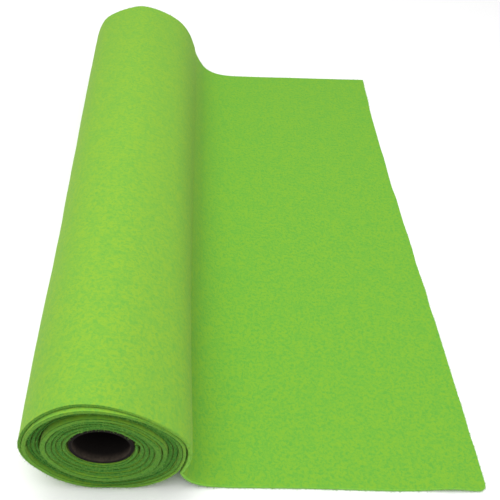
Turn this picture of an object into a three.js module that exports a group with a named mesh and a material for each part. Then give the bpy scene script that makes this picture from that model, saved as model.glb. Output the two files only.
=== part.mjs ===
// A roll of craft felt on a cardboard tube, with its last stretch laid out flat beside it.
// Millimetres, +Z up. X runs from the roll to the loose edge and Y along the tube, from the near
// end to the far end. The origin is on the table, under the middle of the tube.
import * as THREE from "three";

// The cloth
const clothWidth = 446;
const clothThickness = 2;
const turnPitch = 2.6; // one turn of cloth with the air beside it

// The hollow in the roll and the tube in it. The roll is squashed flatter at its far end, so the
// tube's axis slopes down from the near end to the far end.
const boreRadius = 18.3;
const axisHeight = { near: 47.7, far: 40 };
const tube = { outerRadius: 18, innerRadius: 16, near: -0.2, far: 447.2 };

// Where the end faces of the turns lie along the tube. The turns have slid past each other: the
// inner ones stand out at both ends, and at the near end the three turns outside them lie deepest.
const endFaces = {
  outer: { near: 0, far: clothWidth },
  middle: { near: 0.6, far: clothWidth + 2 },
  inner: { near: -1.8, far: clothWidth + 3.6 },
};
const innerShare = 0.55; // how much of the wall the inner turns fill

// The roll's outline: its radius about the tube's axis, by the angle from where the cloth leaves.
const leavingAngle = { near: -34, far: -12 };
const outline = [
  { turned: 0, near: 52.9, far: 52.2 },
  { turned: 12, near: 50.9, far: 48.5 },
  { turned: 26, near: 49.0, far: 45.5 },
  { turned: 40, near: 46.4, far: 42.7 },
  { turned: 55, near: 41.7, far: 39.7 },
  { turned: 70, near: 39.0, far: 37.7 },
  { turned: 88, near: 38.2, far: 37.1 },
  { turned: 106, near: 39.3, far: 37.7 },
  { turned: 124, near: 41.3, far: 38.0 },
  { turned: 142, near: 43.0, far: 40.0 },
  { turned: 160, near: 42.9, far: 43.6 },
  { turned: 178, near: 42.9, far: 45.3 },
  { turned: 196, near: 43.6, far: 47.5 },
  { turned: 214, near: 45.1, far: 47.0 },
  { turned: 234, near: 45.7, far: 46.0 },
  { turned: 252, near: 45.7, far: 45.0 },
  { turned: 268, near: 47.0, far: 43.0 },
  { turned: 284, near: 48.3, far: 42.5 },
  { turned: 300, near: 49.5, far: 44.0 },
  { turned: 316, near: 49.6, far: 46.0 },
  { turned: 332, near: 50.2, far: 46.8 },
  { turned: 346, near: 50.6, far: 47.6 },
  { turned: 360, near: 52.9 - turnPitch, far: 52.2 - turnPitch },
];

// The cloth's upper face from the roll down to the table, at both ends of the tube
const fall = [
  { nearX: 45.1, nearZ: 15.0, farX: 54.2, farZ: 23.6 },
  { nearX: 46.8, nearZ: 11.6, farX: 57.0, farZ: 17.8 },
  { nearX: 50.2, nearZ: 7.6, farX: 61.2, farZ: 11.8 },
  { nearX: 55.2, nearZ: 4.7, farX: 66.8, farZ: 7.4 },
  { nearX: 61.6, nearZ: 3.0, farX: 73.0, farZ: 4.6 },
  { nearX: 70.0, nearZ: 2.2, farX: 80.5, farZ: 3.0 },
  { nearX: 80.0, nearZ: 2.0, farX: 90.0, farZ: 2.0 },
];

// The flat stretch: its edge bows in a little, and its near corner is lifted off the table.
const looseEdge = 227.8;
const edgeBow = 2.9;
const flatShares = [0.22, 0.45, 0.66, 0.78, 0.87, 0.95, 1];
const cornerLift = { height: 2.2, x: 207, width: 13, length: 26 };

// How finely the solids are cut
const outlineSteps = 48;
const stations = [0, 0.015, 0.045, 0.1, 0.18, 0.28, 0.4, 0.53, 0.66, 0.79, 0.91, 1];

const feltFinish = new THREE.MeshStandardMaterial({ color: 0x86c747, roughness: 0.95, metalness: 0 });
const boardFinish = new THREE.MeshStandardMaterial({ color: 0x7d6c58, roughness: 0.9, metalness: 0 });

const { lerp, degToRad } = THREE.MathUtils;

// A closed skin of triangles, made of rows of corners with strips of faces between them.
class Skin {
  corners = [];
  faces = [];

  row(points, along) {
    const first = this.corners.length / 3;
    for (const [x, z] of points) {
      this.corners.push(x, along - clothWidth / 2, z);
    }
    return points.map((_, i) => first + i);
  }

  triangle(a, b, c) {
    if (a !== b && b !== c && c !== a) {
      this.faces.push(a, b, c);
    }
  }

  strip(low, high) {
    for (let i = 0; i + 1 < low.length; i += 1) {
      this.triangle(low[i], low[i + 1], high[i + 1]);
      this.triangle(low[i], high[i + 1], high[i]);
    }
  }

  geometry() {
    const made = new THREE.BufferGeometry();
    made.setAttribute("position", new THREE.Float32BufferAttribute(this.corners, 3));
    made.setIndex(this.faces);
    made.computeVertexNormals();
    return made;
  }
}

const closed = (row) => [...row, row[0]];
const outlineCurve = new THREE.CubicInterpolant(
  outline.map((row) => row.turned),
  outline.flatMap((row) => [row.near, row.far]),
  2,
);

// The far end's form is reached early on the way there, and the tube stays straight.
const formShare = (station) => Math.sin((station * Math.PI) / 2);
const axisAt = (station) => lerp(axisHeight.near, axisHeight.far, station);

function onRay(station, turned, radius) {
  const leaving = lerp(leavingAngle.near, leavingAngle.far, formShare(station));
  const angle = degToRad(leaving + turned);
  const height = axisAt(station) + radius * Math.sin(angle);
  return [radius * Math.cos(angle), Math.max(height, 0)];
}

function outlineRadius(station, turned) {
  const [near, far] = outlineCurve.evaluate(turned);
  return lerp(near, far, formShare(station));
}

// One turn of corners: inward is how far they lie inside the outline, and share moves them from
// the hollow's wall (0) out to there (1).
function turnOf(station, inward, share, lastTurned = 360) {
  return Array.from({ length: outlineSteps + 1 }, (_, i) => {
    const turned = Math.min((i * 360) / outlineSteps, lastTurned);
    const outer = outlineRadius(station, turned) - inward;
    return onRay(station, turned, lerp(boreRadius, outer, share));
  });
}

// The hollow's rim, with its corners at the same angles at both ends, so that the wall is straight
function rimOf(station) {
  return Array.from({ length: outlineSteps }, (_, i) => {
    const angle = degToRad(leavingAngle.near + (i * 360) / outlineSteps);
    const height = axisAt(station) + boreRadius * Math.sin(angle);
    return [boreRadius * Math.cos(angle), height];
  });
}

function liftAt(x, along) {
  const across = (x - cornerLift.x) / cornerLift.width;
  const inFrom = along / cornerLift.length;
  return cornerLift.height * Math.exp(-across * across - inFrom * inFrom);
}

// The loose stretch's upper face, from the roll to the cut edge
function upperFace(station, start) {
  const form = formShare(station);
  const along = station * clothWidth;
  const bend = fall.map((row) => [
    lerp(row.nearX, row.farX, form),
    lerp(row.nearZ, row.farZ, form),
  ]);
  const flatStart = bend[bend.length - 1][0];
  const edge = looseEdge - edgeBow * Math.sin(Math.PI * station * station);
  const flat = flatShares.map((share) => {
    const x = lerp(flatStart, edge, share);
    return [x, clothThickness + liftAt(x, along)];
  });
  return [start, ...bend, ...flat];
}

// Its under face is one thickness below, square to the upper one.
function underFace(upper, start) {
  return upper.map(([x, z], i) => {
    if (i === 0) {
      return start;
    }
    const [backX, backZ] = upper[i - 1];
    const [onX, onZ] = upper[Math.min(i + 1, upper.length - 1)];
    const run = Math.hypot(onX - backX, onZ - backZ);
    const underX = x + ((onZ - backZ) / run) * clothThickness;
    const underZ = z - ((onX - backX) / run) * clothThickness;
    const atEdge = i === upper.length - 1;
    return [atEdge ? x : underX, Math.max(underZ, 0)];
  });
}

function sectionRow(skin, station) {
  const turn = turnOf(station, 0, 1);
  const upper = upperFace(station, turn[0]);
  const under = underFace(upper, turn[outlineSteps]);
  const points = [...turn, ...under.slice(1), ...upper.slice(1).reverse()];
  const row = skin.row(points, station * clothWidth);
  const reach = upper.length - 1;
  return {
    row,
    turn: row.slice(0, outlineSteps + 1),
    under: [row[outlineSteps], ...row.slice(outlineSteps + 1, outlineSteps + 1 + reach)],
    upper: [row[0], ...row.slice(outlineSteps + 1 + reach).reverse()],
  };
}

// One end of the roll: the outermost turn with the loose stretch, the turns inside it and the
// innermost ones, each group at its own place along the tube. It returns the hollow's rim.
function closeEnd(skin, section, end, station) {
  const isNear = end === "near";
  const lay = (low, high) => (isNear ? skin.strip(low, high) : skin.strip(high, low));
  const seamTurned = 357; // just short of a whole turn, so that the last face isn't a sliver
  const inside = turnOf(station, turnPitch, 1, seamTurned);
  const parting = turnOf(station, turnPitch, innerShare).slice(0, outlineSteps);
  const rim = rimOf(station);

  lay(section.under, section.upper);
  const outerInside = [
    section.turn[outlineSteps],
    ...skin.row(inside.slice(1), endFaces.outer[end]),
  ];
  lay(section.turn, outerInside);
  const seam = onRay(station, 360, outlineRadius(station, 360));
  const middleOutside = skin.row([seam, ...inside.slice(1)], endFaces.middle[end]);
  lay(closed(outerInside), closed(middleOutside));
  const middleInside = closed(skin.row(parting, endFaces.middle[end]));
  lay(closed(middleOutside), closed(middleInside));
  const innerOutside = closed(skin.row(parting, endFaces.inner[end]));
  lay(middleInside, innerOutside);
  const boreRim = closed(skin.row(rim, endFaces.inner[end]));
  lay(innerOutside, boreRim);
  return boreRim;
}

function makeFelt() {
  const skin = new Skin();
  const sections = stations.map((station) => sectionRow(skin, station));
  for (let i = 0; i + 1 < sections.length; i += 1) {
    skin.strip(closed(sections[i + 1].row), closed(sections[i].row));
  }
  const nearRim = closeEnd(skin, sections[0], "near", 0);
  const farRim = closeEnd(skin, sections[sections.length - 1], "far", 1);
  skin.strip(nearRim, farRim);
  const felt = new THREE.Mesh(skin.geometry(), feltFinish);
  felt.name = "felt";
  return felt;
}

function makeCore() {
  const half = (tube.far - tube.near) / 2;
  const wall = [
    [tube.innerRadius, -half],
    [tube.outerRadius, -half],
    [tube.outerRadius, half],
    [tube.innerRadius, half],
    [tube.innerRadius, -half],
  ].map(([radius, along]) => new THREE.Vector2(radius, along));
  const core = new THREE.Mesh(new THREE.LatheGeometry(wall, outlineSteps), boardFinish);
  core.name = "core";
  const middle = (tube.near + tube.far) / 2;
  core.position.set(0, middle - clothWidth / 2, axisAt(middle / clothWidth));
  core.rotation.x = Math.atan2(axisHeight.far - axisHeight.near, clothWidth);
  return core;
}

const roll = new THREE.Group();
roll.add(makeFelt(), makeCore());

export default roll;
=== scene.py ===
# %% [markdown]
# # A roll of craft felt on a cardboard tube
#
# The object is one length of lime felt, 2 mm thick and 45 cm wide. It is wound about ten times
# round a grey-brown tube, and its last 18 cm lies flat on the table. What the eye reads as felt
# comes from four things: the turns that show at the end, the soft fall of the loose stretch from
# the roll, the cloudy colour, and the short fibres that stand off every cut edge.
#
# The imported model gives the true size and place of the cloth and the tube, so it is loaded first
# and everything below is made around it. Blender works in metres, and a small value for
# millimetres keeps the sizes readable.

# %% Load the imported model
import math
from bisect import bisect_right

import bpy
from mathutils import Matrix, Vector


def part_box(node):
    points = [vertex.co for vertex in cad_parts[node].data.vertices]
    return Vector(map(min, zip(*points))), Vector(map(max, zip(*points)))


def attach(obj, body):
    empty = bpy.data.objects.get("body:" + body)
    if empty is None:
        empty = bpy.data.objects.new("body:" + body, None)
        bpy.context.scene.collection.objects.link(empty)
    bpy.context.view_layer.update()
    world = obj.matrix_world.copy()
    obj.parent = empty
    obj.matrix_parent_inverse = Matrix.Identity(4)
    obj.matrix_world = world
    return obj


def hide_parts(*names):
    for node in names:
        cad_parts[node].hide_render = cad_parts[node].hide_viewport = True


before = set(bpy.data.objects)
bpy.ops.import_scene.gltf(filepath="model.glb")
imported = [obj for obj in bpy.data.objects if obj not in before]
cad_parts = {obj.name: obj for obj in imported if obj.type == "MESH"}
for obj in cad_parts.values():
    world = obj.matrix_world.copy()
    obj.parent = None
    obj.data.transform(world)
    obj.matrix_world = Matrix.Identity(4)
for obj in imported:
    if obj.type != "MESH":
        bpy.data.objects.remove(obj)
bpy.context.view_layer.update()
MM = 0.001
felt_low, felt_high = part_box("felt")
core_low, core_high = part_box("core")
CLOTH_WIDTH = 446 * MM
CLOTH_START = -CLOTH_WIDTH / 2  # the near end face of the outermost turn
CLOTH_THICK = 2.0 * MM
print("felt", tuple(round(v, 4) for v in felt_high - felt_low), "starts at", round(felt_low.y, 4))

# %% [markdown]
# ## One way to write both kinds of node tree
#
# Geometry Nodes and shaders are both built from nodes and links. Written out call by call they
# are long and hard to read, so a socket is wrapped in a small class whose operators add Math
# nodes: `a * 2 + b` then reads as what it works out. Every other node comes from one method,
# which sets the node's own settings first and its sockets after them.


# %% Sockets that can be added and multiplied
class Value:
    """An output socket of a node tree, with operators that add Math or Vector Math nodes."""

    def __init__(self, tree, socket):
        self.tree, self.socket = tree, socket

    def joined(self, operation, *others, flip=False):
        parts = [self, *others]
        if flip:
            parts.reverse()
        sockets = [p.socket for p in parts if isinstance(p, Value)]
        is_vector = any(s.type in ("VECTOR", "RGBA") for s in sockets)
        kind = "ShaderNodeVectorMath" if is_vector else "ShaderNodeMath"
        return self.tree.add(kind, {"operation": operation}, dict(enumerate(parts)))

    def __add__(self, other):
        return self.joined("ADD", other)

    def __radd__(self, other):
        return self.joined("ADD", other, flip=True)

    def __sub__(self, other):
        return self.joined("SUBTRACT", other)

    def __rsub__(self, other):
        return self.joined("SUBTRACT", other, flip=True)

    def __mul__(self, other):
        return self.joined("MULTIPLY", other)

    def __rmul__(self, other):
        return self.joined("MULTIPLY", other, flip=True)

    def __truediv__(self, other):
        return self.joined("DIVIDE", other)

    def __rtruediv__(self, other):
        return self.joined("DIVIDE", other, flip=True)

    def sine(self):
        return self.joined("SINE")

    def power(self, other):
        return self.joined("POWER", other)

    def at_most(self, other):
        return self.joined("MINIMUM", other)

    def at_least(self, other):
        return self.joined("MAXIMUM", other)


class Tree:
    """A node tree, geometry or shader."""

    def __init__(self, nodes_tree):
        self.made = nodes_tree

    def node(self, kind, settings=None, sockets=None):
        node = self.made.nodes.new(kind)
        for name, value in (settings or {}).items():
            setattr(node, name, value)
        for name, value in (sockets or {}).items():
            self.feed(node.inputs[name], value)
        return node

    def feed(self, socket, value):
        if isinstance(value, Value):
            self.made.links.new(value.socket, socket)
        elif hasattr(socket.default_value, "__len__") and not hasattr(value, "__len__"):
            socket.default_value = [value] * len(socket.default_value)
        else:
            socket.default_value = value

    def add(self, kind, settings=None, sockets=None, out=0):
        return Value(self, self.node(kind, settings, sockets).outputs[out])

    def mixed(self, share, first, second, what="RGBA"):
        place = {"FLOAT": (2, 3, 0), "VECTOR": (4, 5, 1), "RGBA": (6, 7, 2)}[what]
        sockets = {0: share, place[0]: first, place[1]: second}
        return self.add("ShaderNodeMix", {"data_type": what}, sockets, place[2])

    def ranged(self, value, low, high, to_low=0.0, to_high=1.0):
        sockets = {0: value, 1: low, 2: high, 3: to_low, 4: to_high}
        return self.add("ShaderNodeMapRange", {"interpolation_type": "SMOOTHSTEP"}, sockets)

    def noise(self, place, scale, detail=2.0, roughness=0.5, distortion=0.0, out=0):
        sockets = {
            "Vector": place,
            "Scale": scale,
            "Detail": detail,
            "Roughness": roughness,
            "Distortion": distortion,
        }
        return self.add("ShaderNodeTexNoise", {"noise_dimensions": "3D"}, sockets, out)


# %% [markdown]
# ## The camera
#
# The camera comes early, because every look at the work goes through it. The lens and the place
# were worked out from the roll's outline, the round hole in its end and the square corners of
# the loose end, so the picture has the same strong perspective: the near end is close, and the
# roll runs away from it. The optical axis isn't in the middle of the picture, which is what the
# two shifts say.

# %% Camera
CAMERA_AT = Vector((41.2, -420.1, 409.5)) * MM
LOOK_DOWN = math.radians(43.75)
LOOK_RIGHT = math.radians(2.56)
LEAN = math.radians(-3.03)
LENS_MM = 51.62
SHIFT = (0.09, -0.06)


def camera_turn(down, right, lean):
    """The camera's turn: its X to the right, Y up and -Z ahead, leaning about the view axis."""
    ahead = Vector((
        math.sin(right) * math.cos(down),
        math.cos(right) * math.cos(down),
        -math.sin(down),
    ))
    level = Vector((math.cos(right), -math.sin(right), 0))
    below = ahead.cross(level)
    side = level * math.cos(lean) + below * math.sin(lean)
    up = level * math.sin(lean) - below * math.cos(lean)
    return Matrix((side, up, -ahead)).transposed().to_4x4()


lens = bpy.data.cameras.new("camera")
lens.lens = LENS_MM
lens.sensor_width = 36
lens.shift_x, lens.shift_y = SHIFT
lens.clip_start = 0.01
camera = bpy.data.objects.new("camera", lens)
camera.matrix_world = Matrix.Translation(CAMERA_AT) @ camera_turn(LOOK_DOWN, LOOK_RIGHT, LEAN)
bpy.context.scene.collection.objects.link(camera)
bpy.context.scene.camera = camera
print("camera", round(camera.location.length, 3), "m from the origin")

# %% [markdown]
# ## The line of the cloth, seen from the end
#
# A wound cloth is the simplest thing to describe from its end: one long line that starts at the
# tube, goes round and round, leaves the roll and runs out along the table. The near end and the
# far end have different lines, because the roll is rounder at the near end and squashed flatter
# at the far one. Two such guide lines are made here by rule, from short tables, and the cloth is
# then stretched between them.
#
# The outline is measured from the tube's axis. How far a turn lies out between the tube and the
# outline follows from a second table, because the turns aren't evenly tight: there is a wide gap
# under the fifth turn, the three turns outside it are pushed in along the tube, and the second
# turn and the inner five stand out. Felt is soft, so each turn is as thick as the room between
# its neighbours allows.

# %% Tables of the winding
AXIS_HEIGHT = {"near": 47.7 * MM, "far": 40.0 * MM}
LEAVES_AT = {"near": math.radians(-34), "far": math.radians(-12)}
BORE = 18.25 * MM
TURNS = 10.12

# radius of the outline, by degrees turned inwards from where the cloth leaves the roll
OUTLINE = {
    "turned": (0, 12, 26, 40, 55, 70, 88, 106, 124, 142, 160, 178,
               196, 214, 234, 252, 268, 284, 300, 316, 332, 346, 360),
    "near": (54.4, 52.4, 50.6, 48.2, 43.8, 40.3, 38.7, 39.4, 41.3, 43.0, 42.9, 42.9,
             43.6, 45.1, 45.7, 45.7, 47.0, 48.3, 49.5, 49.6, 50.2, 50.6, 50.3),
    "far": (52.6, 48.6, 45.5, 42.7, 39.7, 37.7, 37.1, 37.7, 38.0, 40.0, 43.6, 45.3,
            47.5, 47.0, 46.0, 45.0, 43.0, 42.5, 44.0, 46.0, 46.8, 47.6, 48.7),
}

# By turns counted inwards: how far out the cloth's outer face lies between the tube (0) and the
# outline (1), how much air is under it, how far its edge is pushed in at the near end, in the
# upper half and in the lower half of the roll (below zero it stands out), how far it stands out
# at the far end, and how much painted shade its cut edge gets for lying between its neighbours
# (below zero it is a free edge, which gets painted light instead).
WINDING = {
    "turn": (0, 0.2, 0.45, 0.6, 0.84, 1.0, 1.1, 1.34, 1.6, 1.84, 2.34, 2.84, 3.34, 3.84, 4.15,
             4.34, 4.84, 5.34, 5.84, 6.6, 7.6, 8.6, 8.95, 9.12, 9.3, 9.6, 10.12),
    "share": (1, 0.979, 0.962, 0.951, 0.923, 0.8866, 0.883, 0.885, 0.872, 0.843, 0.8, 0.762,
              0.717, 0.674, 0.6455, 0.628, 0.585, 0.54, 0.492, 0.395, 0.293, 0.208, 0.178, 0.166,
              0.124, 0.096, 0.06),
    "air": (0.3, 0.15, 0.15, 0.15, 0.2, 0.2, 0.2, 0.25, 0.3, 0.35, 0.4, 0.4, 0.4, 0.4, 0.4,
            1.1, 0.9, 0.4, 0.35, 0.35, 0.35, 0.35, 0.5, 1.5, 0.4, 0.35, 0.3),
    "upper": (0, 0, -0.4, -0.4, -0.4, -0.6, -1.0, -2.5, -2.5, -1.6, 0.4, 0.6, 0.6, 0.7, 0.7,
              0.6, -0.2, -2.0, -2.3, -1.8, -1.5, -1.2, -1.2, -1.2, -1.2, -1.1, -1.0),
    "lower": (0, 0, -0.2, -0.4, -0.5, -0.5, -0.5, -0.8, -1.0, -0.8, 0, 0.2, 0.3, 0.3, 0.3,
              0.2, -0.6, -2.2, -2.6, -1.9, -1.5, -1.2, -1.2, -1.2, -1.2, -1.1, -1.0),
    "stands_out": (0, 0, 0, 0, 0.2, 0.3, 0.5, 0.8, 1.0, 1.1, 1.2, 1.9, 2.1, 2.2, 2.1,
                   2.0, 2.2, 2.8, 3.1, 3.4, 3.6, 3.2, 2.9, 2.8, 3.0, 3.2, 3.4),
    "shade": (-0.7, 0.1, 0.6, 0.6, 0.25, 0.2, 0.25, 0.4, 0.4, 0.5, 1, 1, 1, 1, 1,
              1, 0.95, 0.5, 0.7, 0.9, 0.95, 0.95, 0.9, 0.85, 0.85, 0.85, 0.8),
}
RIPPLE = 0.3 * MM  # every turn's edge also lies a little differently
RIPPLE_BEAT = 17.0  # radians of ripple in one turn
MOST_RECESSED_AT = math.radians(120)
RECESS_MIDDLE = 0.45  # the upper half's share, as it goes round

# the cloth's upper face as it falls from the roll to the table
FALL = {
    "near": ((46.3, 15.0), (48.0, 11.6), (51.2, 7.6), (55.9, 4.7), (61.9, 3.0), (70.0, 2.2),
             (80.0, 2.0)),
    "far": ((53.9, 23.6), (57.0, 17.8), (61.2, 11.8), (66.8, 7.4), (73.0, 4.6), (80.5, 3.0),
            (90.0, 2.0)),
}
LOOSE_EDGE = 227.8 * MM


def eased(keys, values, at):
    """A smooth curve through the table's values: a cubic whose slopes come from its neighbours."""
    last = len(keys) - 1
    i = min(max(bisect_right(keys, at) - 1, 0), last - 1)

    def slope(k):
        low, high = max(k - 1, 0), min(k + 1, last)
        return (values[high] - values[low]) / (keys[high] - keys[low])

    span = keys[i + 1] - keys[i]
    t = (at - keys[i]) / span
    start, end = values[i], values[i + 1]
    return (
        start * (1 + 2 * t) * (1 - t) ** 2
        + slope(i) * span * t * (1 - t) ** 2
        + end * t * t * (3 - 2 * t)
        + slope(i + 1) * span * t * t * (t - 1)
    )


# %% Guide lines for the near and the far end
STEPS_A_TURN = 60
FALL_STEPS = 26
FLAT_STEPS = 30
FLAT_CROWDING = 1.5
THINNEST = 1.2 * MM
THICKEST = 4.2 * MM
FREE_TURNS = 0.15  # along this last part of a turn the cloth takes its own thickness again
UNWOUND_AT = 1 / 3  # of the fall: from here on the cloth counts as laid out


def winding(column, turn):
    return eased(WINDING["turn"], WINDING[column], turn)


def outer_radius(end, turn):
    """How far the cloth's outer face is from the tube's axis."""
    turned = turn % 1
    outermost = eased(OUTLINE["turned"], OUTLINE[end], turned * 360) * MM
    return BORE + (outermost - BORE) * winding("share", turn) / winding("share", turned)


def thickness_at(end, turn):
    """Soft felt is pressed thin where the roll is tight, and swells where it has room."""
    under = outer_radius(end, turn + 1) if turn + 1 < TURNS else BORE
    room = outer_radius(end, turn) - under - winding("air", turn) * MM
    thickest = THICKEST if turn + 1 < TURNS else CLOTH_THICK
    swollen = min(max(room, THINNEST), thickest)
    leaving = min(turn / FREE_TURNS, 1.0)
    return CLOTH_THICK + (swollen - CLOTH_THICK) * leaving


def wound_line(end):
    """The cloth's middle line round the tube, from its inner end to where it leaves the roll."""
    steps = round(TURNS * STEPS_A_TURN)
    line = []
    for i in range(steps + 1):
        turn = TURNS * (1 - i / steps)
        thick = thickness_at(end, turn)
        out = outer_radius(end, turn) - thick / 2
        angle = LEAVES_AT[end] + turn * math.tau
        height = AXIS_HEIGHT[end] + out * math.sin(angle)
        line.append((out * math.cos(angle), height, turn, thick))
    return line


def fallen_line(end):
    """Its middle line from the roll to the table and out to the cut edge."""
    angle = LEAVES_AT[end]
    radius = OUTLINE[end][0] * MM
    first = (radius * math.cos(angle), AXIS_HEIGHT[end] + radius * math.sin(angle))
    upper = [first, *((x * MM, z * MM) for x, z in FALL[end])]
    run = [0.0]
    for (x0, z0), (x1, z1) in zip(upper, upper[1:]):
        run.append(run[-1] + math.hypot(x1 - x0, z1 - z0))
    xs, zs = zip(*upper)
    line = []
    for i in range(1, FALL_STEPS + 1):
        at = run[-1] * i / FALL_STEPS
        ahead, behind = min(at + MM, run[-1]), at - MM
        dx = eased(run, xs, ahead) - eased(run, xs, behind)
        dz = eased(run, zs, ahead) - eased(run, zs, behind)
        length = math.hypot(dx, dz)
        x = eased(run, xs, at) + dz / length * CLOTH_THICK / 2
        z = eased(run, zs, at) - dx / length * CLOTH_THICK / 2
        line.append((x, max(z, CLOTH_THICK / 2), 0.0, CLOTH_THICK))
    start = line[-1][0]
    for i in range(1, FLAT_STEPS + 1):
        share = 1 - (1 - i / FLAT_STEPS) ** FLAT_CROWDING
        line.append((start + (LOOSE_EDGE - start) * share, CLOTH_THICK / 2, 0.0, CLOTH_THICK))
    return line


def slid_along(end, turn):
    """How far the cut edge is moved along the tube, for the place that a point has in the roll."""
    if end == "far":
        return winding("stands_out", turn) * MM
    angle = LEAVES_AT[end] + turn * math.tau
    upper = RECESS_MIDDLE + (1 - RECESS_MIDDLE) * math.cos(angle - MOST_RECESSED_AT)
    pushed = winding("lower", turn) + (winding("upper", turn) - winding("lower", turn)) * upper
    rippled = RIPPLE * math.sin(turn * RIPPLE_BEAT) * min(turn, 1.0)
    return pushed * MM + rippled


def store(mesh, label, values):
    mesh.attributes.new(label, "FLOAT", "POINT").data.foreach_set("value", values)


def guide(end):
    """The whole line as a mesh, whose points carry how far they are slid and how thick."""
    line = wound_line(end)
    line += fallen_line(end)
    mesh = bpy.data.meshes.new(f"guide_{end}")
    mesh.from_pydata([(x, 0, z) for x, z, _, _ in line], [], [])
    left_after = round(TURNS * STEPS_A_TURN)
    fallen = [(i - left_after) / FALL_STEPS for i in range(len(line))]
    store(mesh, "slid", [slid_along(end, turn) for _, _, turn, _ in line])
    store(mesh, "wound", [min(max(1 - share / UNWOUND_AT, 0.0), 1.0) for share in fallen])
    store(mesh, "thick", [thick for _, _, _, thick in line])
    store(mesh, "shade", [winding("shade", turn) for _, _, turn, _ in line])
    made = bpy.data.objects.new(f"guide_{end}", mesh)
    length = sum(
        math.hypot(b[0] - a[0], b[1] - a[1]) for a, b in zip(line, line[1:])
    )
    print(f"{end} guide: {len(line)} points, {length:.3f} m of cloth")
    return made, len(line), length


near_guide, GUIDE_POINTS, near_length = guide("near")
far_guide, _, far_length = guide("far")

# %% [markdown]
# ## Stretching the cloth between its two guide lines
#
# The wound cloth follows a rule, so Geometry Nodes make it. A flat grid has one column for each
# point of the guides and one row for each place along the tube. Every grid point looks up its
# column in both guides and moves to a place between them. The rows crowd together at the two
# ends of the roll, where the turns are seen, and are sparse in the middle.
#
# Four small things keep it from looking like rolled metal. The turns slide along the tube by
# different amounts, slow noise makes them wander a little, the loose edge isn't cut quite
# straight, and the near corner of the loose end lifts off the table as it does on the real cloth.

# %% How the cloth departs from its guide lines
FORM_DROP = AXIS_HEIGHT["near"] - AXIS_HEIGHT["far"]
EDGE_BOW = 2.9 * MM
EDGE_WAVE = 2.4 * MM
EDGE_WAVE_SCALE = 30.0
LIFT_AT = 207 * MM
LIFT_WIDTH = 13 * MM
LIFT_LENGTH = 26 * MM
LIFT_HEIGHT = 2.2 * MM
CORNER_ROUND = 5 * MM
LEFT_BULGE = 1.3 * MM
BULGE_RADIUS = 45 * MM
BULGE_AT, BULGE_WIDTH = 0.14, 0.13  # shares of the way along the tube
FLAT_FROM = 85 * MM
NEAR_EDGE_BOW = 0.9 * MM
NEAR_BOW_FROM, NEAR_BOW_TO = 110 * MM, 190 * MM
WANDER = 0.9 * MM
WANDER_SCALE = 28.0
QUICK_WANDER = 4  # times as fine as the slow one
QUICK_WANDER_SHARE = 0.25
LEAST_DIAGONAL = 0.001  # keeps a division from meeting zero
print("the hollow drops", round(FORM_DROP / MM, 1), "mm from the near to the far end")

# %% [markdown]
# Every geometry tree here is used in the same way: it is made with named inputs, it ends with
# Realize Instances and Set Material, and it is run once, so that what stays is a plain mesh.


# %% Making and running a geometry tree
def new_geometry_tree(name, inputs):
    """A geometry tree with named inputs. Returns the tree, its inputs as values and its end."""
    made = bpy.data.node_groups.new(name, "GeometryNodeTree")
    made.interface.new_socket("Geometry", in_out="INPUT", socket_type="NodeSocketGeometry")
    made.interface.new_socket("Geometry", in_out="OUTPUT", socket_type="NodeSocketGeometry")
    for label, kind in inputs.items():
        made.interface.new_socket(label, in_out="INPUT", socket_type=kind)
    tree = Tree(made)
    start = tree.node("NodeGroupInput")
    end = tree.node("NodeGroupOutput")
    given = {label: Value(tree, start.outputs[label]) for label in ("Geometry", *inputs)}
    return tree, given, end


def finished(tree, geometry, material, end):
    """Ends a tree with Realize Instances and Set Material."""
    real = tree.add("GeometryNodeRealizeInstances", sockets={"Geometry": geometry})
    real = tree.add("GeometryNodeSetMaterial", sockets={"Geometry": real, "Material": material})
    tree.feed(end.inputs["Geometry"], real)


def made_by(tree, name, values, start=None):
    """Runs a tree on a new object and returns the result as a plain mesh object."""
    mesh = start or bpy.data.meshes.new(name)
    maker = bpy.data.objects.new(name, mesh)
    bpy.context.scene.collection.objects.link(maker)
    modifier = maker.modifiers.new("maker", "NODES")
    modifier.node_group = tree.made
    for item in tree.made.interface.items_tree:
        if item.item_type == "SOCKET" and item.in_out == "INPUT" and item.name in values:
            modifier[item.identifier] = values[item.name]
    graph = bpy.context.evaluated_depsgraph_get()
    plain = bpy.data.meshes.new_from_object(maker.evaluated_get(graph))
    maker.modifiers.remove(modifier)
    maker.data = plain
    plain.name = name
    return maker


# %% [markdown]
# The winding tree works in this order: find the column, look up its place in both guides, move
# that place for the edge, the corner and the bulge, add the wander, and keep it on the table.


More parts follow.
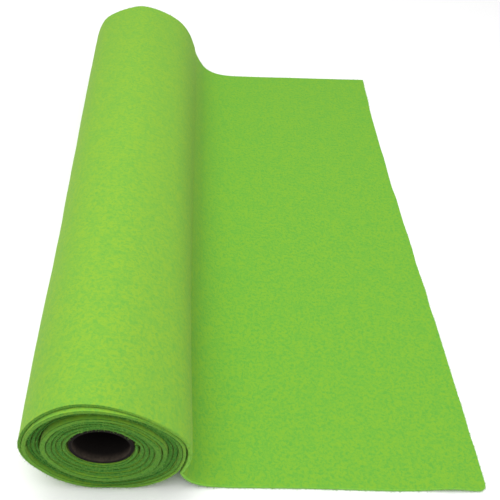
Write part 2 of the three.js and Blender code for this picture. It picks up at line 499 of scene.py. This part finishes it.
# %% The tree that winds the cloth
def winding_tree():
    tree, given, end = new_geometry_tree("wind the cloth", {
        "Near guide": "NodeSocketObject",
        "Far guide": "NodeSocketObject",
        "Columns": "NodeSocketInt",
        "Rows": "NodeSocketInt",
        "Cloth width": "NodeSocketFloat",
        "Cloth start": "NodeSocketFloat",
        "Crowding": "NodeSocketFloat",
        "Wander": "NodeSocketFloat",
        "Material": "NodeSocketMaterial",
    })
    grid = tree.add("GeometryNodeMeshGrid", sockets={
        "Size X": 1.0,
        "Size Y": 1.0,
        "Vertices X": given["Columns"],
        "Vertices Y": given["Rows"],
    })
    place = tree.node("ShaderNodeSeparateXYZ", sockets={0: tree.add("GeometryNodeInputPosition")})
    column = ((Value(tree, place.outputs[0]) + 0.5) * (given["Columns"] - 1)).joined("ROUND")
    even = Value(tree, place.outputs[1]) + 0.5
    along = even - given["Crowding"] * (even * math.tau).sine() / math.tau
    form = (along * (math.pi / 2)).sine()

    def looked_up(guide_name, kind, value):
        info = tree.node("GeometryNodeObjectInfo", sockets={"Object": given[guide_name]})
        return tree.add("GeometryNodeSampleIndex", {"data_type": kind}, {
            "Geometry": Value(tree, info.outputs["Geometry"]),
            "Value": value,
            "Index": column,
        })

    def named(label):
        return tree.add("GeometryNodeInputNamedAttribute", {"data_type": "FLOAT"}, {"Name": label})

    position = tree.add("GeometryNodeInputPosition")
    near_place = looked_up("Near guide", "FLOAT_VECTOR", position)
    far_place = looked_up("Far guide", "FLOAT_VECTOR", position)
    between = tree.node("ShaderNodeSeparateXYZ", sockets={
        0: tree.mixed(form, near_place, far_place, "VECTOR"),
    })
    x, z = Value(tree, between.outputs[0]), Value(tree, between.outputs[2])
    wound = looked_up("Near guide", "FLOAT", named("wound"))
    slid = tree.mixed(
        along,
        looked_up("Near guide", "FLOAT", named("slid")),
        looked_up("Far guide", "FLOAT", named("slid")),
        "FLOAT",
    )
    # the tube is straight, while the outline changes early on the way to the far end
    z = z + wound * (form - along) * FORM_DROP

    # the loose edge bows in and isn't cut quite straight, and its near corner lifts
    flat_share = tree.ranged(x, FLAT_FROM, LOOSE_EDGE) * (1 - wound)
    corner_x = (1 - (LOOSE_EDGE - x) / CORNER_ROUND).at_least(0.0)
    x = x - flat_share * EDGE_BOW * (along * along * math.pi).sine()
    down_the_edge = tree.add("ShaderNodeCombineXYZ", sockets={1: along * given["Cloth width"]})
    wave = tree.noise(down_the_edge, EDGE_WAVE_SCALE, detail=1.0) - 0.5
    x = x + flat_share * wave * EDGE_WAVE
    across = (x - LIFT_AT) / LIFT_WIDTH
    inward = along * given["Cloth width"] / LIFT_LENGTH
    falling = (across * across + inward * inward) * -1
    z = z + (1 - wound) * LIFT_HEIGHT * falling.joined("EXPONENT")

    # the near corner is rounded: a square is pressed into a quarter of a disc
    corner_y = (1 - along * given["Cloth width"] / CORNER_ROUND).at_least(0.0)
    longest = corner_x.at_least(corner_y)
    diagonal = (corner_x * corner_x + corner_y * corner_y).power(0.5).at_least(LEAST_DIAGONAL)
    pressed = (1 - longest / diagonal) * CORNER_ROUND
    x = x - corner_x * pressed

    # the roll is a little fuller on its left just behind the near end
    behind = (along - BULGE_AT) / BULGE_WIDTH
    fuller = (behind * behind * -1).joined("EXPONENT") * (LEFT_BULGE / BULGE_RADIUS)
    x = x + x.at_most(0.0) * fuller

    bowed = tree.ranged(x, NEAR_BOW_FROM, NEAR_BOW_TO)
    y = given["Cloth start"] + along * given["Cloth width"] + slid + corner_y * pressed
    y = y - bowed * (1 - wound) * (1 - along) * NEAR_EDGE_BOW
    at = tree.add("ShaderNodeCombineXYZ", sockets={0: x, 1: y, 2: z})
    slow = tree.noise(at, WANDER_SCALE, detail=1.0, out=1)
    quick = tree.noise(at, WANDER_SCALE * QUICK_WANDER, detail=1.0, out=1)
    half = (0.5, 0.5, 0.5)
    quick_wander = given["Wander"] * QUICK_WANDER_SHARE
    drift = (slow - half) * given["Wander"] + (quick - half) * quick_wander
    moved = tree.node("ShaderNodeSeparateXYZ", sockets={0: at + drift})
    thick = tree.mixed(
        form,
        looked_up("Near guide", "FLOAT", named("thick")),
        looked_up("Far guide", "FLOAT", named("thick")),
        "FLOAT",
    )
    # nothing goes below the table
    height = Value(tree, moved.outputs[2]).at_least(thick * 0.5)
    at = tree.add("ShaderNodeCombineXYZ", sockets={
        0: Value(tree, moved.outputs[0]),
        1: Value(tree, moved.outputs[1]),
        2: height,
    })
    shade = looked_up("Near guide", "FLOAT", named("shade"))
    # the columns are counted on the flat grid, so these are stored before its points are moved
    for label, value in (("thick", thick), ("shade", shade), ("wound", wound)):
        grid = tree.add("GeometryNodeStoreNamedAttribute", {"data_type": "FLOAT"}, {
            "Geometry": grid,
            "Name": label,
            "Value": value,
        })
    shaped = tree.add("GeometryNodeSetPosition", sockets={"Geometry": grid, "Position": at})
    finished(tree, shaped, given["Material"], end)
    return tree


# %% [markdown]
# The sheet that comes out has no thickness yet. Solidify gives each point its own, and a bevel
# rounds the cut edges. Then each point gets marks that say how much of a cut edge it is, which the
# fibres need, and how much painted shade or painted light the finish puts on it there.

# %% Wind it, give it its thickness and round its cut edges
def plain_material(name):
    made = bpy.data.materials.new(name)
    made.use_nodes = True
    made.node_tree.nodes.clear()
    return made


felt_finish = plain_material("lime felt")
ROWS = 56
ROW_CROWDING = 0.88
EDGE_ROUND = 0.6 * MM
CUT_FROM, CUT_TO = 0.15, 0.9  # how squarely a point looks out before it counts as cut

cloth = made_by(winding_tree(), "wound_felt", {
    "Near guide": near_guide,
    "Far guide": far_guide,
    "Columns": GUIDE_POINTS,
    "Rows": ROWS,
    "Cloth width": CLOTH_WIDTH,
    "Cloth start": CLOTH_START,
    "Crowding": ROW_CROWDING,
    "Wander": WANDER,
    "Material": felt_finish,
})
cloth.data.shade_smooth()


def with_modifiers(piece, *settings):
    """Adds modifiers one after another, and turns the result into the piece's plain mesh."""
    for kind, values in settings:
        modifier = piece.modifiers.new(kind.lower(), kind)
        for name, value in values.items():
            setattr(modifier, name, value)
    graph = bpy.context.evaluated_depsgraph_get()
    plain = bpy.data.meshes.new_from_object(piece.evaluated_get(graph))
    piece.modifiers.clear()
    piece.data = plain


swelling = cloth.vertex_groups.new(name="swelling")
for i, item in enumerate(cloth.data.attributes["thick"].data):
    swelling.add([i], item.value / THICKEST, "REPLACE")

with_modifiers(
    cloth,
    ("SOLIDIFY", {
        "thickness": THICKEST,
        "offset": 0.0,
        "use_rim": True,
        "vertex_group": "swelling",
    }),
    ("BEVEL", {"width": EDGE_ROUND, "segments": 3, "angle_limit": math.radians(60)}),
)
cloth.data.shade_smooth()


def mark_cut_edges(mesh):
    """Stores how squarely each point looks out of a cut edge, the painted shade or painted light
    that the edge gets, and the painted shade on its corner.
    """
    normals = [0.0] * (3 * len(mesh.vertices))
    mesh.vertex_normals.foreach_get("vector", normals)
    lost = [item.value for item in mesh.attributes["shade"].data]
    cut, corner, glow, open_edge = [], [], [], []
    for i, vertex in enumerate(mesh.vertices):
        facing = abs(normals[3 * i + 1])
        if vertex.co.x > LOOSE_EDGE - 3 * EDGE_ROUND:
            facing = max(facing, abs(normals[3 * i]))
        share = min(max((facing - CUT_FROM) / (CUT_TO - CUT_FROM), 0.0), 1.0)
        open_edge.append(share)
        smooth = share * share * (3 - 2 * share)
        # painted shade on cut edges that lie between neighbours, painted light on free edges, and
        # more painted shade on the corners, where two turns meet
        cut.append(smooth * max(lost[i], 0.0))
        glow.append(smooth * max(-lost[i], 0.0))
        corner.append(4 * share * (1 - share) * min(max(2 * lost[i], 0.0), 1.0))
    store(mesh, "cut", cut)
    store(mesh, "corner", corner)
    store(mesh, "glow", glow)
    store(mesh, "open edge", open_edge)


mark_cut_edges(cloth.data)

# %% [markdown]
# ## Fibres on the cut edges
#
# A cut through felt frees the ends of its fibres, and they stand out of every edge in all
# directions. Thousands of them are needed, so Geometry Nodes scatter points over the edges only,
# as densely as the stored mark says, and put one small bent fibre on each, leaning at random from
# the edge's own direction. Each fibre is a thin three-sided tube, which takes few triangles.

# %% Scatter the fibres
FIBRES = 14000
FIBRE_LENGTH = 1.3 * MM
FIBRE_RADIUS = 0.05 * MM
FIBRE_LEAN = 1.15
FIBRE_SIZES = (0.5, 1.25)
FIBRE_BEND = ((0.0, 0.0, -0.1), (0.0, 0.0, 0.45), (0.4, 0.1, 0.8))  # shares of its length
FIBRE_SEED = 7


def fibre_tree():
    tree, given, end = new_geometry_tree("stand fibres on the edges", {
        "Per square metre": "NodeSocketFloat",
        "Length": "NodeSocketFloat",
        "Radius": "NodeSocketFloat",
        "Lean": "NodeSocketFloat",
        "Seed": "NodeSocketInt",
        "Material": "NodeSocketMaterial",
    })
    where = tree.add(
        "GeometryNodeInputNamedAttribute", {"data_type": "FLOAT"}, {"Name": "open edge"},
    )
    scattered = tree.node(
        "GeometryNodeDistributePointsOnFaces",
        {"distribute_method": "RANDOM"},
        {"Mesh": given["Geometry"], "Density": where * given["Per square metre"],
         "Seed": given["Seed"]},
    )

    def point(shares):
        parts = {i: given["Length"] * share for i, share in enumerate(shares)}
        return tree.add("ShaderNodeCombineXYZ", sockets=parts)

    root, middle, tip = map(point, FIBRE_BEND)
    line = tree.add("GeometryNodeCurveQuadraticBezier", sockets={
        "Resolution": 4,
        "Start": root,
        "Middle": middle,
        "End": tip,
    })
    ring = tree.add("GeometryNodeCurvePrimitiveCircle", sockets={
        "Resolution": 3,
        "Radius": given["Radius"],
    })
    bent = tree.add("GeometryNodeResampleCurve", sockets={"Curve": line, "Count": 3})
    fibre = tree.add("GeometryNodeCurveToMesh", sockets={"Curve": bent, "Profile Curve": ring})

    low = tree.add("ShaderNodeCombineXYZ", sockets={
        0: given["Lean"] * -1, 1: given["Lean"] * -1, 2: 0.0,
    })
    high = tree.add("ShaderNodeCombineXYZ", sockets={
        0: given["Lean"], 1: given["Lean"], 2: math.tau,
    })
    lean = tree.add(
        "FunctionNodeRandomValue", {"data_type": "FLOAT_VECTOR"},
        {0: low, 1: high, 8: given["Seed"]},
    )
    turn = tree.add("FunctionNodeRotateRotation", {"rotation_space": "LOCAL"}, {
        0: Value(tree, scattered.outputs["Rotation"]),
        1: tree.add("FunctionNodeEulerToRotation", sockets={0: lean}),
    })
    sizes = {2: FIBRE_SIZES[0], 3: FIBRE_SIZES[1], 8: given["Seed"]}
    size = tree.add("FunctionNodeRandomValue", {"data_type": "FLOAT"}, sizes, out=1)
    standing = tree.add("GeometryNodeInstanceOnPoints", sockets={
        "Points": Value(tree, scattered.outputs["Points"]),
        "Instance": fibre,
        "Rotation": turn,
        "Scale": size,
    })
    real = tree.add("GeometryNodeRealizeInstances", sockets={"Geometry": standing})
    # the ones on the lowest edges are pressed onto the table
    place = tree.node("ShaderNodeSeparateXYZ", sockets={0: tree.add("GeometryNodeInputPosition")})
    above = tree.add("ShaderNodeCombineXYZ", sockets={
        0: Value(tree, place.outputs[0]),
        1: Value(tree, place.outputs[1]),
        2: Value(tree, place.outputs[2]).at_least(given["Radius"]),
    })
    pressed = tree.add("GeometryNodeSetPosition", sockets={"Geometry": real, "Position": above})
    finished(tree, pressed, given["Material"], end)
    return tree


def marked_area(mesh, label):
    """The area of the faces in square metres, each counted by its share of the mark."""
    marks = [item.value for item in mesh.attributes[label].data]
    return sum(
        face.area * sum(marks[i] for i in face.vertices) / len(face.vertices)
        for face in mesh.polygons
    )


fibre_finish = plain_material("loose fibres")
fibres = made_by(fibre_tree(), "edge_fibres", {
    "Per square metre": FIBRES / marked_area(cloth.data, "open edge"),
    "Length": FIBRE_LENGTH,
    "Radius": FIBRE_RADIUS,
    "Lean": FIBRE_LEAN,
    "Seed": FIBRE_SEED,
    "Material": fibre_finish,
}, start=cloth.data)
print("fibres", len(fibres.data.polygons), "faces")

# %% [markdown]
# ## The cardboard tube
#
# A tube is a ring of profile points turned about an axis. The wall is 2 mm of grey-brown board,
# its rims are a little rounded by handling, and the strip that it was wound from leaves a fine
# spiral seam inside. It lies on the sloping axis of the roll, 1 mm back from the edge of the
# innermost turn.

# %% Turn the tube
TUBE_OUTER = 18 * MM
TUBE_INNER = 16 * MM
TUBE_START = core_low.y
TUBE_END = core_high.y
RIM_ROUND = 0.35 * MM
TUBE_SIDES = 96
SEAM_LEAD = 52 * MM
SEAM_WIDTH = 1.2 * MM
SEAM_DEPTH = 0.12 * MM
INNER_RINGS = 120

board_finish = plain_material("grey-brown board")


def tube_profile():
    """(radius, place along the tube) round the wall: near rim, far rim, back along the inside."""
    near, far = TUBE_START, TUBE_END
    corner = RIM_ROUND
    middle = corner * 0.3  # the middle of the rounding lies this far in from the square corner
    rim = [
        (TUBE_INNER, near + corner),
        (TUBE_INNER + middle, near + middle),
        (TUBE_INNER + corner, near),
        (TUBE_OUTER - corner, near),
        (TUBE_OUTER - middle, near + middle),
        (TUBE_OUTER, near + corner),
    ]
    back = [(radius, near + far - y) for radius, y in reversed(rim)]
    inside = [
        (TUBE_INNER, far - corner + (near - far + 2 * corner) * i / INNER_RINGS)
        for i in range(1, INNER_RINGS)
    ]
    return rim + back + inside


def make_tube():
    profile = tube_profile()
    rings = len(profile)
    points, faces = [], []
    slope = -FORM_DROP / CLOTH_WIDTH
    for side in range(TUBE_SIDES):
        angle = math.tau * side / TUBE_SIDES
        for radius, y in profile:
            if radius == TUBE_INNER:
                turns = (y - TUBE_START) / SEAM_LEAD - side / TUBE_SIDES
                off_seam = abs(turns - round(turns)) * SEAM_LEAD
                radius = radius + SEAM_DEPTH * math.exp(-(off_seam / SEAM_WIDTH) ** 2)
            centre = AXIS_HEIGHT["near"] + slope * (y - CLOTH_START)
            points.append((radius * math.cos(angle), y, centre + radius * math.sin(angle)))
    for side in range(TUBE_SIDES):
        beside = (side + 1) % TUBE_SIDES
        for ring in range(rings):
            after = (ring + 1) % rings
            faces.append((
                side * rings + ring,
                side * rings + after,
                beside * rings + after,
                beside * rings + ring,
            ))
    mesh = bpy.data.meshes.new("board_tube")
    mesh.from_pydata(points, [], faces)
    mesh.materials.append(board_finish)
    mesh.shade_smooth()
    # how squarely the wall looks along the tube: the finish paints these cut rims with the bore's
    # painted shade
    store(mesh, "cut", [abs(vertex.normal.y) for vertex in mesh.vertices])
    made = bpy.data.objects.new("board_tube", mesh)
    bpy.context.scene.collection.objects.link(made)
    return made


tube = make_tube()
print("tube", len(tube.data.polygons), "faces")

# %% [markdown]
# ## The felt's finish
#
# Felt has no weave. It is a mat of short fibres pressed together, so the colour is cloudy: broad,
# faint patches of yellower and cooler green, and a fine speckle where single fibres catch the
# light. Three noises at three scales give that, and the two finer ones raise a shallow bump. The
# shader's sheen stands for the fuzz that glows along edges seen at a low angle. The cut edges get
# a painted shade, darker the deeper they lie between their neighbours, and the free edges get a
# painted light, as the stored marks say. The wound part gets a warmer painted light.

# %% Felt
LIME = (0.144, 0.374, 0.035, 1.0)
YELLOW_LIME = (0.176, 0.390, 0.030, 1.0)
COOL_GREEN = (0.098, 0.334, 0.040, 1.0)
ROLL_WARM_LIGHT = (1.17, 1.01, 1.07)  # painted light: how much warmer and lighter each part of the colour is on the wound part
FIBRE_GREEN = (0.150, 0.360, 0.040, 1.0)
FIBRE_PALE = (0.210, 0.460, 0.075, 1.0)
# painted light for the free edges, and painted shade for the cut edges and their corners
FREE_EDGE_LIGHT = (0.230, 0.580, 0.075, 1.0)
CUT_SHADE_GREEN = (0.008, 0.132, 0.011, 1.0)
CORNER_SHADE_GREEN = (0.004, 0.038, 0.004, 1.0)
CLOUD_SCALE, TUFT_SCALE, SPECKLE_SCALE = 110.0, 480.0, 1500.0  # grains in a metre
FELT_BUMP = 0.35 * MM


def finish_tree(material):
    tree = Tree(material.node_tree)
    place = tree.add("ShaderNodeTexCoord", out="Object")
    return tree, place


def mark(tree, label):
    """What a stored mark says at a point."""
    return tree.add("ShaderNodeAttribute", {"attribute_name": label}, out="Fac")


def felt_shader(material):
    tree, place = finish_tree(material)
    clouds = tree.noise(place, CLOUD_SCALE, detail=3.0, roughness=0.6)
    tufts = tree.noise(place, TUFT_SCALE, detail=3.0, roughness=0.65, distortion=0.6)
    fibres = tree.noise(place, SPECKLE_SCALE, detail=2.0, roughness=0.7, distortion=1.2)
    warm = tree.ranged(clouds * 0.4 + tufts * 0.6, 0.42, 0.6)
    colour = tree.mixed(warm, LIME, YELLOW_LIME)
    cool = tree.ranged(tufts * 0.6 + fibres * 0.4, 0.54, 0.36) * 0.8
    colour = tree.mixed(cool, colour, COOL_GREEN)
    # painted light: the wound part is coloured warmer and lighter than the flat stretch, for the
    # light that the top of the roll catches
    colour = colour * tree.mixed(mark(tree, "wound"), (1.0, 1.0, 1.0), ROLL_WARM_LIGHT, "VECTOR")
    # painted shade on the cut edges, darkest at the corners where two turns meet, and painted
    # light on the free edges
    ragged = tree.ranged(tufts * 0.5 + fibres * 0.5, 0.36, 0.62, 1.0, 0.7)
    for label, tone in (("glow", FREE_EDGE_LIGHT), ("cut", CUT_SHADE_GREEN), ("corner", CORNER_SHADE_GREEN)):
        colour = tree.mixed(mark(tree, label) * ragged, colour, tone)
    bump = tree.add("ShaderNodeBump", sockets={
        "Strength": 0.55,
        "Distance": FELT_BUMP,
        "Height": tufts * 0.6 + fibres * 0.4,
    })
    shader = tree.add("ShaderNodeBsdfPrincipled", sockets={
        "Base Color": colour,
        "Roughness": 0.95,
        "Specular IOR Level": 0.15,
        "Sheen Weight": 0.12,
        "Sheen Roughness": 0.5,
        "Sheen Tint": (0.85, 1.0, 0.35, 1.0),
        "Normal": bump,
    })
    tree.node("ShaderNodeOutputMaterial", sockets={"Surface": shader})


def fibre_shader(material):
    """Single fibres let light through, so they look paler than the mat that they come from."""
    tree, place = finish_tree(material)
    colour = tree.mixed(tree.noise(place, 900.0, detail=1.0), FIBRE_GREEN, FIBRE_PALE)
    shader = tree.add("ShaderNodeBsdfPrincipled", sockets={
        "Base Color": colour,
        "Roughness": 0.8,
        "Specular IOR Level": 0.2,
    })
    tree.node("ShaderNodeOutputMaterial", sockets={"Surface": shader})


felt_shader(felt_finish)
fibre_shader(fibre_finish)
for finish in (felt_finish, fibre_finish):
    print(finish.name, len(finish.node_tree.nodes), "nodes")

# %% [markdown]
# ## The board's finish
#
# The tube is made of grey-brown pulp. A fine noise gives its grain and a broader one its flecks.
# Beyond the first few millimetres from each rim the wall is coloured nearly black, a painted shade
# for the depth of the bore, and its cut rims are painted as dark: the board is darker there in the
# picture than the lamps alone would make it.

# %% Board
BOARD = (0.075, 0.058, 0.044, 1.0)
BOARD_DARK = (0.045, 0.036, 0.028, 1.0)
# painted shade for the depth of the bore and for the cut rims
BORE_SHADE = (0.012, 0.010, 0.009, 1.0)
UNSHADED_RIM_DEPTH = 5.5 * MM
PULP_SCALE, FLECK_SCALE = 700.0, 160.0
BOARD_BUMP = 0.15 * MM


def board_shader(material):
    tree, place = finish_tree(material)
    pulp = tree.noise(place, PULP_SCALE, detail=4.0, roughness=0.6)
    flecks = tree.noise(place, FLECK_SCALE, detail=2.0)
    colour = tree.mixed(tree.ranged(pulp * 0.6 + flecks * 0.4, 0.38, 0.6), BOARD_DARK, BOARD)
    # painted shade: the board is coloured nearly black on its cut rims and deep inside the bore,
    # and keeps its own tone just inside the rims
    along = tree.node("ShaderNodeSeparateXYZ", sockets={0: place})
    y = Value(tree, along.outputs[1])
    inside = (y - TUBE_START).at_most(TUBE_END - y) / UNSHADED_RIM_DEPTH
    colour = tree.mixed(tree.ranged(inside, 0.0, 1.0), colour, BORE_SHADE)
    colour = tree.mixed(mark(tree, "cut"), colour, BORE_SHADE)
    bump = tree.add("ShaderNodeBump", sockets={
        "Strength": 0.4,
        "Distance": BOARD_BUMP,
        "Height": pulp,
    })
    shader = tree.add("ShaderNodeBsdfPrincipled", sockets={
        "Base Color": colour,
        "Roughness": 0.9,
        "Specular IOR Level": 0.05,
        "Normal": bump,
    })
    tree.node("ShaderNodeOutputMaterial", sockets={"Surface": shader})


board_shader(board_finish)
print(board_finish.name, len(board_finish.node_tree.nodes), "nodes")

# %% [markdown]
# ## The studio
#
# The floor is a plain pale sheet. The light in such a product picture is broad and comes from
# above, so the top of the roll is the brightest part and the end that faces us is in half shade.
# One large soft lamp does that, a weak one on the right lifts the end face a little, and a dim
# even sky fills the shadows.

# %% Floor, lamps and sky
FLOOR_HALF = 6.0
FLOOR_TONE = (0.86, 0.86, 0.86, 1.0)
SKY_STRENGTH = 0.62


def pale_floor():
    mesh = bpy.data.meshes.new("floor")
    half = FLOOR_HALF
    corners = [(-half, -half, 0), (half, -half, 0), (half, half, 0), (-half, half, 0)]
    mesh.from_pydata(corners, [], [(0, 1, 2, 3)])
    made = bpy.data.objects.new("floor", mesh)
    bpy.context.scene.collection.objects.link(made)
    finish = plain_material("pale floor")
    tree = Tree(finish.node_tree)
    shader = tree.add("ShaderNodeBsdfPrincipled", sockets={
        "Base Color": FLOOR_TONE,
        "Roughness": 0.9,
    })
    tree.node("ShaderNodeOutputMaterial", sockets={"Surface": shader})
    mesh.materials.append(finish)


def soft_lamp(name, size, watts, at, towards):
    data = bpy.data.lights.new(name, "AREA")
    data.shape = "RECTANGLE"
    data.size, data.size_y = size
    data.energy = watts
    lamp = bpy.data.objects.new(name, data)
    lamp.location = at
    lamp.rotation_euler = (Vector(towards) - Vector(at)).to_track_quat("-Z", "Y").to_euler()
    bpy.context.scene.collection.objects.link(lamp)
    print(name, watts, "W from", at)


pale_floor()
soft_lamp(
    "overhead", size=(1.0, 1.0), watts=12.8, at=(-0.12, -0.16, 1.08), towards=(0.0, 0.0, 0.0),
)
soft_lamp(
    "side fill", size=(0.9, 0.9), watts=1.6, at=(0.95, -0.75, 0.6), towards=(0.0, -0.1, 0.03),
)
sky = bpy.data.worlds.new("studio")
sky.use_nodes = True
backdrop = sky.node_tree.nodes["Background"]
backdrop.inputs["Color"].default_value = (1, 1, 1, 1)
backdrop.inputs["Strength"].default_value = SKY_STRENGTH
bpy.context.scene.world = sky
bpy.context.scene.view_settings.view_transform = "Standard"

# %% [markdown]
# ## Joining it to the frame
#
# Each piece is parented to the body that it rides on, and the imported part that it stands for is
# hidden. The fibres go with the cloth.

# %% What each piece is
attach(cloth, "root")
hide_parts("felt")
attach(fibres, "root")
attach(tube, "root")
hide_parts("core")
